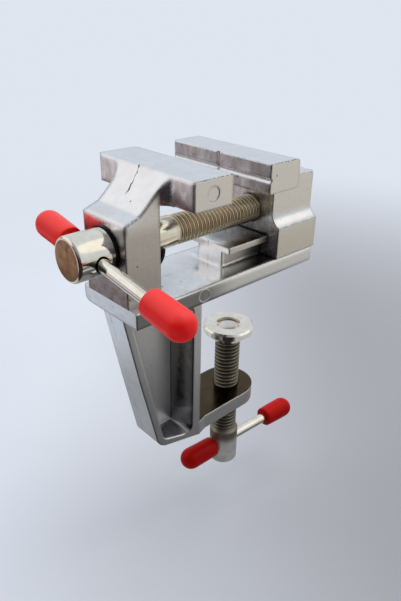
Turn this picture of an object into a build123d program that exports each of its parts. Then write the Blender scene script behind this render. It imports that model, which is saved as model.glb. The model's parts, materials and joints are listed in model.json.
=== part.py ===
import os
from math import cos, pi, radians, sin, tan

from build123d import *

# The origin lies on the bed's underside, on the clamp screw's axis. +Y runs back over the
# table, +Z up, and +X to the right of someone who faces the handle. Sizes are in millimetres.

# Bed, the plate that rests on the table top
bed_width = 22.0
bed_thickness = 4.1
bed_front = 41.3
bed_rear = 22.6
bed_corner_radius = 1.4
bed_underside_radius = 3.2
bed_top_radius = 0.4

# Both jaws: a bar across the top, leaned out over the opening from a narrower post
jaw_width = 35.0
jaw_top_height = 29.3
jaw_reach = 12.8
jaw_corner_radius = 1.1
saddle_sag = 0.45
neck_flare_radius = 3.0

# Fixed front jaw
front_jaw_face = 22.4
front_bar_depth = 11.3
front_bar_height = 6.8
front_bar_edge_radius = 0.5
front_post_width = 16.0
front_post_length = 9.6
front_post_outer_drop = 9.7
front_shoulder_length = 4.1
front_shoulder_drop = 8.2

# Moving rear jaw
jaw_opening = 12.6
rear_bar_depth = 10.5
rear_bar_height = 7.2
rear_bar_edge_radius = 1.1
rear_block_length = 16.8
rear_block_lower_width = 21.6
rear_block_upper_width = 16.4
rear_flare_start = 8.8
rear_flare_end = 12.6
rear_block_outer_drop = 7.6
rear_block_top_radius = 1.2
rear_block_corner_chamfer = 0.4
rear_shoulder_length = 11.6
rear_shoulder_drop = 6.8
vee_depth = 0.6
vee_drop = 3.9
vee_upright_depth = 0.5

# Rail that guides the moving jaw
rail_web_width = 9.0
rail_flange_width = 14.5
rail_flange_bottom = 4.2
rail_flange_top = 6.0
rail_front = 32.9
rail_foot_radius = 0.8
rail_edge_radius = 0.25
slide_clearance = 0.15
bed_clearance = 0.08

# Leg and arm of the table clamp
throat_depth = 19.5
leg_height = 43.4
leg_front_width = 9.4
leg_front_spread = 1.0
leg_left_chamfer = 1.5
leg_rear_width = 18.0
leg_front_setback = 0.1
leg_slant = 9.6
leg_corner_radius = 3.0
leg_throat_radius = 2.4
leg_heel_land = 0.6
leg_web_thickness = 3.2
leg_rim_thickness = 2.4
leg_rear_flange_thickness = 2.0
leg_bottom_flange_thickness = 2.6
pocket_draft = 18.0
pocket_corner_radius = 0.5
pocket_top_gap = 0.5
arm_thickness = 4.5
arm_width = 16.2

# Main screw
screw_height = 12.25
screw_thread_diameter = 7.7
screw_shank_diameter = 7.8
screw_shank_end = 21.0
screw_end = 63.2
screw_head_diameter = 10.8
screw_head_length = 9.2
screw_head_edge = 0.4
screw_tip_chamfer = 0.8
running_clearance = 0.05

# Washers and clip that hold the main screw in the front post
end_play = 0.06
head_washer_diameter = 11.2
head_washer_thickness = 0.5
thrust_washer_diameter = 13.6
thrust_washer_thickness = 0.8
clip_diameter = 15.2
clip_thickness = 0.9
clip_rim_width = 2.4
clip_mouth_width = 6.4
clip_mouth_angle = 45.0
clip_opening_angle = 98.0
clip_prong_width = 2.8
clip_groove_depth = 0.7

# Sliding bars and their grips
bar_diameter = 3.1
bar_hole_diameter = 3.8
handle_bar_length = 47.8
handle_bar_set_in = 5.6
handle_rest_gap = 2.1
handle_tilt = 8.6
clamp_bar_length = 41.9
clamp_rest_gap = 0.3
clamp_turn_angle = 3.0
grip_diameter = 6.8
handle_grip_length = 12.5
clamp_grip_length = 12.4
grip_end_wall = 3.4
grip_bore_clearance = 0.02
grip_nose_rings = 3

# Clamp screw and its swivel pad
board_thickness = 18.0
clamp_thread_diameter = 7.6
clamp_head_diameter = 9.0
clamp_head_length = 12.8
clamp_head_drop = 12.7
clamp_head_edge = 0.6
clamp_bar_drop = 6.8
pad_diameter = 15.0
pad_rim_thickness = 2.0
pad_hub_diameter = 10.0
pad_hub_depth = 2.2
pad_edge = 0.5
neck_diameter = 5.0
neck_clearance = 0.1
rivet_diameter = 6.8
rivet_thickness = 0.8
rivet_recess_depth = 1.2
rivet_clearance = 0.3

# How far a neck runs into its bar, and how far a cut runs past what it cuts
overrun = 1.0
fit_tolerance = 0.01

# Round marks that the mould's pins leave
pin_mark_diameter = 3.4
pin_mark_depth = 0.15
bed_pin_mark_place = 20.9

# Places worked out from the sizes
front_y = -bed_front
bed_length = bed_front + bed_rear
screw_z = bed_thickness + screw_height
jaw_top = bed_thickness + jaw_top_height
front_face_y = front_y + front_jaw_face
rear_face_y = front_face_y + jaw_opening
leg_bottom = -leg_height
arm_top = leg_bottom + arm_thickness
post_inner_y = front_face_y - jaw_reach
post_outer_y = post_inner_y - front_post_length
rail_front_y = front_y + rail_front
rail_rear_y = bed_rear - bed_corner_radius


def upright(y):
    """The upright plane across the vise at y. Its normal points forward, to the handle."""
    return Plane.XZ.offset(-y)


def rod(plane, diameter, start, end):
    """A plain round rod along a plane's normal, also used to cut round bores."""
    with BuildPart() as round_rod:
        with BuildSketch(plane.offset(start)):
            Circle(diameter / 2)
        extrude(amount=end - start)
    return round_rod.part


def saddle_points(bar_outer_y, outward, shoulder, edge_radius):
    """Start, middle and end of the hollow curve from a post's shoulder up to its jaw bar."""
    top = (bar_outer_y, jaw_top - edge_radius)
    run, rise = top[0] - shoulder[0], top[1] - shoulder[1]
    chord = (run ** 2 + rise ** 2) ** 0.5
    middle = (
        (shoulder[0] + top[0]) / 2 - outward * saddle_sag * rise / chord,
        (shoulder[1] + top[1]) / 2 + outward * saddle_sag * run / chord,
    )
    return shoulder, middle, top


def post_outline(inner_y, outer_y, base_z, outer_z, bar_bottom, bite_y, saddle):
    """The post seen from the side, from its foot to where the neck enters the bar."""
    Polyline(saddle[2], (bite_y, saddle[2][1]), (bite_y, bar_bottom), (inner_y, bar_bottom),
             (inner_y, base_z), (outer_y, base_z), (outer_y, outer_z), saddle[0])
    ThreePointArc(*saddle)


def neck_flare(outward, bar_outer_y, bar_bottom, post_width, saddle):
    """The hollow flare that widens a neck to each side where it meets the bar."""
    bite_y = bar_outer_y - outward * overrun
    flare_y = bar_outer_y + outward * neck_flare_radius
    half, wide = post_width / 2, post_width / 2 + neck_flare_radius
    turn = neck_flare_radius * (1 - cos(pi / 4))
    with BuildPart() as flare:
        with BuildSketch(Plane.XY.offset(bar_bottom)):
            with BuildLine():
                Line((-half, flare_y), (half, flare_y))
                turn_y = bar_outer_y + outward * turn
                ThreePointArc((half, flare_y), (half + turn, turn_y), (wide, bar_outer_y))
                Polyline((wide, bar_outer_y), (wide, bite_y), (-wide, bite_y), (-wide, bar_outer_y))
                ThreePointArc((-wide, bar_outer_y), (-half - turn, turn_y), (-half, flare_y))
            make_face()
        extrude(amount=jaw_top - bar_bottom)
        with BuildSketch(Plane.YZ):
            with BuildLine():
                ThreePointArc(*saddle)
                Polyline(saddle[2], (bite_y, saddle[2][1]), (bite_y, saddle[0][1]), saddle[0])
            make_face()
        extrude(amount=jaw_width, both=True, mode=Mode.INTERSECT)
    return flare.part


def jaw_bar(face_y, outward, depth, height, edge_radius):
    """A jaw's bar, square at its working face and its right-hand end and rounded elsewhere."""
    middle_y = face_y + outward * depth / 2
    with BuildPart() as bar:
        with BuildSketch(Plane.YZ.offset(-jaw_width / 2)) as side:
            with Locations((middle_y, jaw_top - height / 2)):
                Rectangle(depth, height)
            fillet(side.vertices().group_by(Axis.X)[-1 if outward > 0 else 0], edge_radius)
        extrude(amount=jaw_width)
        with BuildSketch(Plane.XY.offset(jaw_top)) as plan:
            with Locations((0, middle_y)):
                Rectangle(jaw_width, depth)
            fillet(plan.vertices().group_by(Axis.X)[0], jaw_corner_radius)
        extrude(amount=-height, mode=Mode.INTERSECT)
    return bar.part


# Leg of the table clamp: a slanted wedge, narrow in front and wide against the table's edge
leg_front_y = front_y + leg_front_setback
leg_heel_y = -throat_depth + leg_throat_radius + leg_heel_land


def leg_front_at(z):
    """Where the leg's slanted front face stands at height z."""
    return leg_front_y + leg_slant * max(0, -z) / leg_height


def leg_section(front, right):
    """The leg cut level, from its front edge, whose right-hand end is at right, back to the arm."""
    left = -leg_front_width / 2
    Polyline((left, front + leg_left_chamfer), (left + leg_left_chamfer, front), (right, front),
             (leg_rear_width / 2, -throat_depth), (arm_width / 2, leg_heel_y),
             (-arm_width / 2, leg_heel_y), (-leg_rear_width / 2, -throat_depth), close=True)


with BuildPart() as leg:
    with BuildSketch(Plane.XY.offset(bed_thickness / 2)):
        with BuildLine():
            leg_section(leg_front_y, leg_front_width / 2)
        make_face()
    with BuildSketch(Plane.XY.offset(leg_bottom)):
        with BuildLine():
            foot_front = leg_front_at(leg_bottom) - leg_slant * bed_thickness / 2 / leg_height
            leg_section(foot_front, leg_front_width / 2 + leg_front_spread)
        make_face()
    loft(ruled=True)
    with BuildSketch(Plane.YZ) as leg_side:
        with BuildLine():
            Polyline((leg_front_y, bed_thickness / 2), (leg_front_y, 0),
                     (leg_front_at(leg_bottom), leg_bottom), (leg_heel_y, leg_bottom),
                     (leg_heel_y, arm_top), (-throat_depth, arm_top),
                     (-throat_depth, bed_thickness / 2), close=True)
        make_face()
        corners = leg_side.vertices()
        fillet(corners.sort_by_distance((leg_front_at(leg_bottom), leg_bottom))[0], leg_corner_radius)
        fillet(corners.sort_by_distance((-throat_depth, arm_top))[0], leg_throat_radius)
    extrude(amount=leg_rear_width, both=True, mode=Mode.INTERSECT)


# Hollow in the leg's right side: its floor is the web, and it opens outward by the mould's draft
pocket_floor_x = leg_web_thickness / 2
pocket_spread = tan(radians(pocket_draft))
pocket_rim = leg_rim_thickness + (leg_front_width / 2 - pocket_floor_x) * pocket_spread
pocket_rear = (-throat_depth - leg_rear_flange_thickness
               - (leg_rear_width / 2 - pocket_floor_x) * pocket_spread)
pocket_low = (leg_bottom + leg_bottom_flange_thickness
              + (leg_front_width / 2 - pocket_floor_x) * pocket_spread)
pocket_high = -pocket_top_gap - (leg_rear_width / 2 - pocket_floor_x) * pocket_spread

with BuildPart() as pocket:
    with BuildSketch(Plane.YZ.offset(pocket_floor_x)) as pocket_floor:
        with BuildLine():
            Polyline((leg_front_at(pocket_high) + pocket_rim, pocket_high), (pocket_rear, pocket_high),
                     (pocket_rear, pocket_low), (leg_front_at(pocket_low) + pocket_rim, pocket_low),
                     close=True)
        make_face()
        fillet(pocket_floor.vertices(), pocket_corner_radius)
    extrude(amount=leg_rear_width / 2 + overrun - pocket_floor_x, taper=-pocket_draft)

# Arm that carries the clamp screw under the table
with BuildPart() as arm:
    with BuildSketch(Plane.XY.offset(leg_bottom)):
        with BuildLine():
            Polyline((-arm_width / 2, 0), (-arm_width / 2, leg_heel_y - overrun),
                     (arm_width / 2, leg_heel_y - overrun), (arm_width / 2, 0))
            ThreePointArc((arm_width / 2, 0), (0, arm_width / 2), (-arm_width / 2, 0))
        make_face()
    extrude(amount=arm_thickness)


def rail_section(margin, foot_z):
    """The rail's T seen from the front, grown by a margin, from foot_z upward."""
    web, flange = rail_web_width / 2 + margin, rail_flange_width / 2 + margin
    low, high = bed_thickness + rail_flange_bottom - margin, bed_thickness + rail_flange_top + margin
    Polyline((-web, foot_z), (-web, low), (-flange, low), (-flange, high),
             (flange, high), (flange, low), (web, low), (web, foot_z), close=True)


# Upper form of the fixed jaw
front_bar_outer_y = front_face_y - front_bar_depth
front_bar_bottom = jaw_top - front_bar_height
front_shoulder = (post_outer_y + front_shoulder_length, jaw_top - front_shoulder_drop)
front_saddle = saddle_points(front_bar_outer_y, -1, front_shoulder, front_bar_edge_radius)
front_bar = jaw_bar(front_face_y, -1, front_bar_depth, front_bar_height, front_bar_edge_radius)
front_flare = neck_flare(-1, front_bar_outer_y, front_bar_bottom, front_post_width, front_saddle)

main_axis = Plane(origin=(0, 0, screw_z), x_dir=(1, 0, 0), z_dir=(0, 1, 0))
clamp_axis = Plane.XY
post_bore_diameter = screw_shank_diameter + 2 * running_clearance
arm_bore_diameter = clamp_thread_diameter + 2 * running_clearance

pin_marks = [
    (jaw_width / 2, front_face_y - front_bar_depth / 2, jaw_top - front_bar_height / 2),
    (bed_width / 2, front_y + bed_pin_mark_place, bed_thickness / 2),
]

# Body: bed, fixed jaw, rail and table clamp, cast in one piece
with BuildPart() as body_casting:
    with BuildSketch() as bed_plan:
        with Locations((0, (bed_rear - bed_front) / 2)):
            Rectangle(bed_width, bed_length)
        rear_right_corner = bed_plan.vertices().sort_by_distance((bed_width / 2, bed_rear))[0:1]
        fillet(bed_plan.vertices().group_by(Axis.X)[0] + rear_right_corner, bed_corner_radius)
    extrude(amount=bed_thickness)
    with BuildSketch(upright(bed_rear)) as bed_end:
        with Locations((0, bed_thickness / 2)):
            Rectangle(bed_width, bed_thickness)
        fillet(bed_end.vertices().sort_by_distance((-bed_width / 2, 0))[0], bed_underside_radius)
        fillet(bed_end.vertices().group_by(Axis.Y)[-1], bed_top_radius)
    extrude(amount=bed_length, mode=Mode.INTERSECT)
    with BuildSketch(Plane.YZ):
        with BuildLine():
            post_outline(post_inner_y, post_outer_y, bed_thickness / 2,
                         jaw_top - front_post_outer_drop, front_bar_bottom,
                         front_bar_outer_y + overrun, front_saddle)
        make_face()
    extrude(amount=front_post_width / 2, both=True)
    add(front_flare)
    add(front_bar)
    with BuildSketch(upright(rail_rear_y)) as rail_end:
        with BuildLine():
            rail_section(0, bed_thickness - bed_top_radius)
        make_face()
        fillet(rail_end.vertices().group_by(Axis.X)[0] + rail_end.vertices().group_by(Axis.X)[-1],
               rail_edge_radius)
    extrude(amount=rail_rear_y - rail_front_y)
    foot_edges = body_casting.edges().filter_by(Axis.Y)
    foot_edges = foot_edges.filter_by_position(Axis.Z, bed_thickness - fit_tolerance,
                                               bed_thickness + fit_tolerance)
    foot_edges = foot_edges.filter_by_position(Axis.X, -rail_flange_width / 2, rail_flange_width / 2)
    fillet(foot_edges, rail_foot_radius)
    add(leg.part)
    add(arm.part)
    add(pocket.part, mode=Mode.SUBTRACT)
    add(mirror(pocket.part, about=Plane.YZ, mode=Mode.PRIVATE), mode=Mode.SUBTRACT)
    add(rod(main_axis, post_bore_diameter, post_outer_y - overrun, post_inner_y + overrun),
        mode=Mode.SUBTRACT)
    add(rod(clamp_axis, arm_bore_diameter, leg_bottom - overrun, arm_top + overrun),
        mode=Mode.SUBTRACT)
    for mark_x, mark_y, mark_z in pin_marks:
        add(rod(Plane(origin=(mark_x, mark_y, mark_z), x_dir=(0, 1, 0), z_dir=(1, 0, 0)),
                pin_mark_diameter, -pin_mark_depth, overrun), mode=Mode.SUBTRACT)
body_casting.part.label = "body_casting"

# Moving jaw: the block that rides the rail, and the upper form of its bar and neck
block_inner_y = rear_face_y + jaw_reach
block_outer_y = block_inner_y + rear_block_length
block_base_z = bed_thickness + bed_clearance
rear_bar_outer_y = rear_face_y + rear_bar_depth
rear_bar_bottom = jaw_top - rear_bar_height
rear_shoulder = (block_outer_y - rear_shoulder_length, jaw_top - rear_shoulder_drop)
rear_saddle = saddle_points(rear_bar_outer_y, 1, rear_shoulder, rear_bar_edge_radius)
rear_bar = jaw_bar(rear_face_y, 1, rear_bar_depth, rear_bar_height, rear_bar_edge_radius)
rear_flare = neck_flare(1, rear_bar_outer_y, rear_bar_bottom, rear_block_upper_width, rear_saddle)
jaw_bore_diameter = screw_thread_diameter + 2 * running_clearance
vee_z = jaw_top - vee_drop

with BuildPart() as moving_jaw:
    with BuildSketch(upright(block_outer_y)):
        with BuildLine():
            flare_low = bed_thickness + rear_flare_start
            flare_high = bed_thickness + rear_flare_end
            lower, upper = rear_block_lower_width / 2, rear_block_upper_width / 2
            Polyline((-lower, flare_low), (-lower, block_base_z), (lower, block_base_z), (lower, flare_low))
            TangentArc((upper, flare_high), (lower, flare_low), tangent=(0, -1))
            Polyline((upper, flare_high), (upper, jaw_top), (-upper, jaw_top), (-upper, flare_high))
            TangentArc((-upper, flare_high), (-lower, flare_low), tangent=(0, -1))
        make_face()
    extrude(amount=block_outer_y - rear_face_y)
    with BuildSketch(Plane.YZ) as block_side:
        with BuildLine():
            post_outline(block_inner_y, block_outer_y, block_base_z,
                         jaw_top - rear_block_outer_drop, rear_bar_bottom,
                         rear_bar_outer_y - overrun, rear_saddle)
        make_face()
        rear_top = (block_outer_y, jaw_top - rear_block_outer_drop)
        fillet(block_side.vertices().sort_by_distance(rear_top)[0], rear_block_top_radius)
    extrude(amount=rear_block_lower_width, both=True, mode=Mode.INTERSECT)
    outer_face = moving_jaw.faces().filter_by(Plane.XZ).sort_by(Axis.Y)[-1]
    chamfer(outer_face.edges().filter_by(Axis.Z), rear_block_corner_chamfer)
    add(rear_flare)
    add(rear_bar)
    with BuildSketch(upright(block_outer_y + overrun)):
        with BuildLine():
            rail_section(slide_clearance, bed_thickness - overrun)
        make_face()
    extrude(amount=rear_block_length + 2 * overrun, mode=Mode.SUBTRACT)
    slot_lips = moving_jaw.faces().sort_by(Axis.Z)[0].edges() + moving_jaw.faces().sort_by(Axis.Z)[1].edges()
    slot_lips = slot_lips.filter_by(Axis.Y)
    slot_lips = slot_lips.filter_by_position(Axis.X, -rail_flange_width / 2, rail_flange_width / 2)
    chamfer(slot_lips, rail_foot_radius)
    add(rod(main_axis, jaw_bore_diameter, block_inner_y - overrun, block_outer_y + overrun),
        mode=Mode.SUBTRACT)
    with BuildSketch(Plane.YZ):
        with BuildLine():
            Polyline((rear_face_y, vee_z - vee_depth), (rear_face_y + vee_depth, vee_z),
                     (rear_face_y, vee_z + vee_depth), close=True)
        make_face()
    extrude(amount=jaw_width / 2, both=True, mode=Mode.SUBTRACT)
    with BuildSketch(Plane.XY.offset(jaw_top)):
        with BuildLine():
            Polyline((-vee_upright_depth, rear_face_y), (0, rear_face_y + vee_upright_depth),
                     (vee_upright_depth, rear_face_y), close=True)
        make_face()
    extrude(amount=-rear_bar_height, mode=Mode.SUBTRACT)
moving_jaw.part.label = "moving_jaw"

# Main screw, with its washers behind the head and behind the post, and the clip that holds it
head_rear_y = post_outer_y - 2 * end_play - head_washer_thickness
head_front_y = head_rear_y - screw_head_length
thrust_washer_y = post_inner_y + end_play
clip_y = thrust_washer_y + thrust_washer_thickness + end_play
screw_thread_start_y = front_y + screw_shank_end
screw_end_y = front_y + screw_end
handle_y = head_front_y + handle_bar_set_in
clip_groove_radius = screw_shank_diameter / 2 - clip_groove_depth
handle_direction = (cos(radians(handle_tilt)), 0, -sin(radians(handle_tilt)))
handle_plane = Plane(origin=(0, handle_y, screw_z), x_dir=(0, 1, 0), z_dir=handle_direction)

with BuildPart() as main_screw:
    with BuildSketch(Plane(origin=(0, 0, screw_z), x_dir=(0, 1, 0), z_dir=(1, 0, 0))):
        with BuildLine():
            head, shank, thread = screw_head_diameter / 2, screw_shank_diameter / 2, screw_thread_diameter / 2
            Polyline((head_front_y, 0), (head_front_y, head - screw_head_edge),
                     (head_front_y + screw_head_edge, head), (head_rear_y, head), (head_rear_y, shank),
                     (clip_y - end_play, shank), (clip_y - end_play, clip_groove_radius),
                     (clip_y + clip_thickness + end_play, clip_groove_radius),
                     (clip_y + clip_thickness + end_play, shank), (screw_thread_start_y, shank),
                     (screw_thread_start_y, thread), (screw_end_y - screw_tip_chamfer, thread),
                     (screw_end_y, thread - screw_tip_chamfer), (screw_end_y, 0), close=True)
        make_face()
    revolve(axis=Axis((0, 0, screw_z), (0, 1, 0)))
    add(rod(handle_plane, bar_hole_diameter, -screw_head_diameter, screw_head_diameter), mode=Mode.SUBTRACT)
main_screw.part.label = "main_screw"


def washer(outer_diameter, thickness, start_y):
    """A flat washer on the main screw, with its front face at start_y."""
    with BuildPart() as ring:
        with BuildSketch(upright(start_y + thickness)):
            with Locations((0, screw_z)):
                Circle(outer_diameter / 2)
                Circle(post_bore_diameter / 2, mode=Mode.SUBTRACT)
        extrude(amount=thickness)
    return ring


head_washer = washer(head_washer_diameter, head_washer_thickness, head_rear_y + end_play)
head_washer.part.label = "head_washer"
thrust_washer = washer(thrust_washer_diameter, thrust_washer_thickness, thrust_washer_y)
thrust_washer.part.label = "thrust_washer"

clip_opening_slope = tan(radians(clip_opening_angle / 2))
with BuildPart() as retaining_clip:
    with BuildSketch(upright(clip_y + clip_thickness)):
        with Locations((0, screw_z)):
            Circle(clip_diameter / 2)
            Circle(clip_diameter / 2 - clip_rim_width, mode=Mode.SUBTRACT)
            with PolarLocations(clip_diameter / 4, 3, start_angle=clip_mouth_angle + 90, angular_range=270):
                Rectangle(clip_diameter / 2 - clip_rim_width / 2, clip_prong_width)
            Circle(clip_groove_radius + running_clearance, mode=Mode.SUBTRACT)
            with PolarLocations(clip_diameter / 2, 1, start_angle=clip_mouth_angle):
                Rectangle(clip_diameter, clip_mouth_width, mode=Mode.SUBTRACT)
            with PolarLocations(0, 1, start_angle=clip_mouth_angle):
                Polygon((0, 0), (clip_diameter, clip_opening_slope * clip_diameter),
                        (clip_diameter, -clip_opening_slope * clip_diameter), align=None, mode=Mode.SUBTRACT)
    extrude(amount=clip_thickness)
retaining_clip.part.label = "retaining_clip"

# Table clamp: the swivel pad, and the screw whose end is riveted over inside it
pad_top_z = -board_thickness
pad_bottom_z = pad_top_z - pad_rim_thickness - pad_hub_depth
pad_bore_radius = neck_diameter / 2 + neck_clearance
recess_z = pad_top_z - rivet_recess_depth
recess_radius = rivet_diameter / 2 + rivet_clearance
clamp_head_top_z = leg_bottom - clamp_head_drop
clamp_head_bottom_z = clamp_head_top_z - clamp_head_length
clamp_bar_z = clamp_head_top_z - clamp_bar_drop
clamp_direction = (sin(radians(clamp_turn_angle)), cos(radians(clamp_turn_angle)), 0)
clamp_bar_plane = Plane(origin=(0, 0, clamp_bar_z), x_dir=(0, 0, 1), z_dir=clamp_direction)

with BuildPart() as clamp_pad:
    with BuildSketch(Plane.XZ):
        with BuildLine():
            rim, hub = pad_diameter / 2, pad_hub_diameter / 2
            rim_z = pad_bottom_z + pad_hub_depth
            Polyline((pad_bore_radius, pad_bottom_z), (hub, pad_bottom_z), (hub, rim_z), (rim, rim_z),
                     (rim, pad_top_z - pad_edge), (rim - pad_edge, pad_top_z), (recess_radius, pad_top_z),
                     (recess_radius, recess_z), (pad_bore_radius, recess_z), close=True)
        make_face()
    revolve(axis=Axis.Z)
clamp_pad.part.label = "clamp_pad"

with BuildPart() as clamp_screw:
    with BuildSketch(Plane.XZ):
        with BuildLine():
            head, thread = clamp_head_diameter / 2, clamp_thread_diameter / 2
            neck, rivet = neck_diameter / 2, rivet_diameter / 2
            shoulder_z = pad_bottom_z - neck_clearance
            rivet_z = recess_z + neck_clearance
            Polyline((0, clamp_head_bottom_z), (head - clamp_head_edge, clamp_head_bottom_z),
                     (head, clamp_head_bottom_z + clamp_head_edge),
                     (head, clamp_head_top_z - clamp_head_edge),
                     (head - clamp_head_edge, clamp_head_top_z), (thread, clamp_head_top_z),
                     (thread, shoulder_z), (neck, shoulder_z), (neck, rivet_z), (rivet, rivet_z),
                     (neck, rivet_z + rivet_thickness), (0, rivet_z + rivet_thickness), close=True)
        make_face()
    revolve(axis=Axis.Z)
    add(rod(clamp_bar_plane, bar_hole_diameter, -clamp_head_diameter, clamp_head_diameter),
        mode=Mode.SUBTRACT)
clamp_screw.part.label = "clamp_screw"


def bar_shift(bar_length, grip_length, head_diameter, rest_gap):
    """How far a bar stands off centre when the grip on its near end rests rest_gap from the head."""
    free_span = bar_length - 2 * (grip_length - grip_end_wall)
    return (free_span - head_diameter) / 2 - rest_gap


def grip(plane, outward, bar_length, grip_length, shift):
    """A pushed-on grip with a blind bore for the bar. Its round nose is made of narrow rings."""
    axis_x = Vector(*plane.z_dir) * outward
    mouth = plane.origin + plane.z_dir * shift + axis_x * (bar_length / 2 + grip_end_wall - grip_length)
    radius = grip_diameter / 2
    bore = bar_diameter / 2 + grip_bore_clearance
    nose_start = grip_length - radius
    turns = [pi / 2 * ring / grip_nose_rings for ring in range(grip_nose_rings + 1)]
    nose = [(nose_start + radius * sin(turn), radius * cos(turn)) for turn in turns]
    with BuildPart() as cap:
        with BuildSketch(Plane(origin=mouth, x_dir=axis_x, z_dir=plane.x_dir)):
            with BuildLine():
                Polyline(*nose, (grip_length - grip_end_wall, 0), (grip_length - grip_end_wall, bore),
                         (0, bore), (0, radius), close=True)
            make_face()
        revolve(axis=Axis(mouth, axis_x))
    return cap


handle_shift = bar_shift(handle_bar_length, handle_grip_length, screw_head_diameter, handle_rest_gap)
clamp_shift = bar_shift(clamp_bar_length, clamp_grip_length, clamp_head_diameter, clamp_rest_gap)


def sliding_bar(plane, length, shift):
    """A plain sliding bar with its middle shifted along its own axis."""
    with BuildPart() as bar:
        add(rod(plane, bar_diameter, shift - length / 2, shift + length / 2))
    return bar


handle_bar = sliding_bar(handle_plane, handle_bar_length, handle_shift)
handle_bar.part.label = "handle_bar"
clamp_bar = sliding_bar(clamp_bar_plane, clamp_bar_length, clamp_shift)
clamp_bar.part.label = "clamp_bar"
handle_grip_left = grip(handle_plane, -1, handle_bar_length, handle_grip_length, handle_shift)
handle_grip_left.part.label = "handle_grip_left"
handle_grip_right = grip(handle_plane, 1, handle_bar_length, handle_grip_length, handle_shift)
handle_grip_right.part.label = "handle_grip_right"
clamp_grip_front = grip(clamp_bar_plane, -1, clamp_bar_length, clamp_grip_length, clamp_shift)
clamp_grip_front.part.label = "clamp_grip_front"
clamp_grip_rear = grip(clamp_bar_plane, 1, clamp_bar_length, clamp_grip_length, clamp_shift)
clamp_grip_rear.part.label = "clamp_grip_rear"

os.makedirs("parts", exist_ok=True)
export_step(body_casting.part, "parts/body_casting.step")
export_step(moving_jaw.part, "parts/moving_jaw.step")
export_step(main_screw.part, "parts/main_screw.step")
export_step(head_washer.part, "parts/head_washer.step")
export_step(thrust_washer.part, "parts/thrust_washer.step")
export_step(retaining_clip.part, "parts/retaining_clip.step")
export_step(handle_bar.part, "parts/handle_bar.step")
export_step(handle_grip_left.part, "parts/handle_grip_left.step")
export_step(handle_grip_right.part, "parts/handle_grip_right.step")
export_step(clamp_screw.part, "parts/clamp_screw.step")
export_step(clamp_pad.part, "parts/clamp_pad.step")
export_step(clamp_bar.part, "parts/clamp_bar.step")
export_step(clamp_grip_front.part, "parts/clamp_grip_front.step")
export_step(clamp_grip_rear.part, "parts/clamp_grip_rear.step")
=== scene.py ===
import json
from math import ceil, cos, pi, radians, sin, tau

import bmesh
import bpy
from mathutils import Matrix, Vector, noise


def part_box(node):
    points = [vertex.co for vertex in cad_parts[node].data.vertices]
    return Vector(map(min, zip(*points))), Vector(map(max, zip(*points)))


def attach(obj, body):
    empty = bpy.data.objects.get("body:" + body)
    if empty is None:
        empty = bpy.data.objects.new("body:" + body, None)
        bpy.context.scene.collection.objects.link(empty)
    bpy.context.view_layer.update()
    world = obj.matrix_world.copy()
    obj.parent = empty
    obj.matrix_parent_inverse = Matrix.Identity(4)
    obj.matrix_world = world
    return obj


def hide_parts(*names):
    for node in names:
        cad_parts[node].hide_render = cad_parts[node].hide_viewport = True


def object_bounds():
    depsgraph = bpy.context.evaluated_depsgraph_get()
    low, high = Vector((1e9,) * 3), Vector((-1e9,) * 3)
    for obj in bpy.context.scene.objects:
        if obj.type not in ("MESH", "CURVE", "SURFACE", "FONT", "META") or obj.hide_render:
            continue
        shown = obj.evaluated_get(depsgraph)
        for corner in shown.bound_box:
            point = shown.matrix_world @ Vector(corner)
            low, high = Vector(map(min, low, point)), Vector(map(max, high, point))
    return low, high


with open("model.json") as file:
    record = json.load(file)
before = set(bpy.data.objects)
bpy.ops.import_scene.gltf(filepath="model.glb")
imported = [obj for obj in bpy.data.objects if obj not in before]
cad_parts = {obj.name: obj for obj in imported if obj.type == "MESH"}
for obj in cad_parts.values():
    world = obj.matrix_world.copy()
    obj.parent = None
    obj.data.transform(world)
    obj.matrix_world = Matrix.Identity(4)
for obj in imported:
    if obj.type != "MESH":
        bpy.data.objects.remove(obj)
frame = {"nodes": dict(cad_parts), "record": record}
cad_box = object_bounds()
nodes = frame["nodes"]

MM = 0.001


def mm(*lengths):
    """Lengths in metres from lengths in millimetres."""
    return tuple(length * MM for length in lengths)


# The camera stands so that the object looks as it does in the photograph, a frame of 401 by 601
CAMERA_PLACE = (0.100323, -0.105673, 0.064386)
CAMERA_LOOK = (-0.64804, 0.60813, -0.45849)
CAMERA_ROLL = radians(1.04)
CAMERA_LENS = 33.63
CAMERA_SENSOR = 36.0
CAMERA_CLIP = (0.01, 20.0)

# Screws. Both have the same coarse thread, and a power over 1 widens its crests
THREAD_PITCH = 1.25 * MM
THREAD_DEPTH = 0.66 * MM
THREAD_CHAMFER = 0.8 * MM
THREAD_CREST_POWER = 1.1
MAIN_THREAD_RADIUS = 3.85 * MM
MAIN_SHANK_RADIUS = 3.9 * MM
MAIN_SHANK_LENGTH = 28.8 * MM
MAIN_SHANK_CHAMFER = 0.1 * MM
MAIN_HEAD_LENGTH = 9.2 * MM
MAIN_HEAD_EDGE = 0.8 * MM
MAIN_HEAD_BACK_EDGE = 0.15 * MM
GROOVE_DEPTH = 0.7 * MM
GROOVE_PLAY = 0.06 * MM
CLAMP_THREAD_RADIUS = 3.8 * MM
CLAMP_HEAD_LENGTH = 12.8 * MM
CLAMP_HEAD_EDGE = 0.7 * MM
CLAMP_BAR_DROP = 6.8 * MM
CLAMP_NECK_RADIUS = 2.5 * MM
CLAMP_NECK_LENGTH = 3.2 * MM
RIVET_RADIUS = 3.4 * MM
RIVET_THICKNESS = 0.8 * MM

# The rivet's dome: how far each of its points lies under the top, and its share of the radius
RIVET_DOME = ((0.45 * MM, 0.93), (0.12 * MM, 0.75), (0.0, 0.5))

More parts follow.
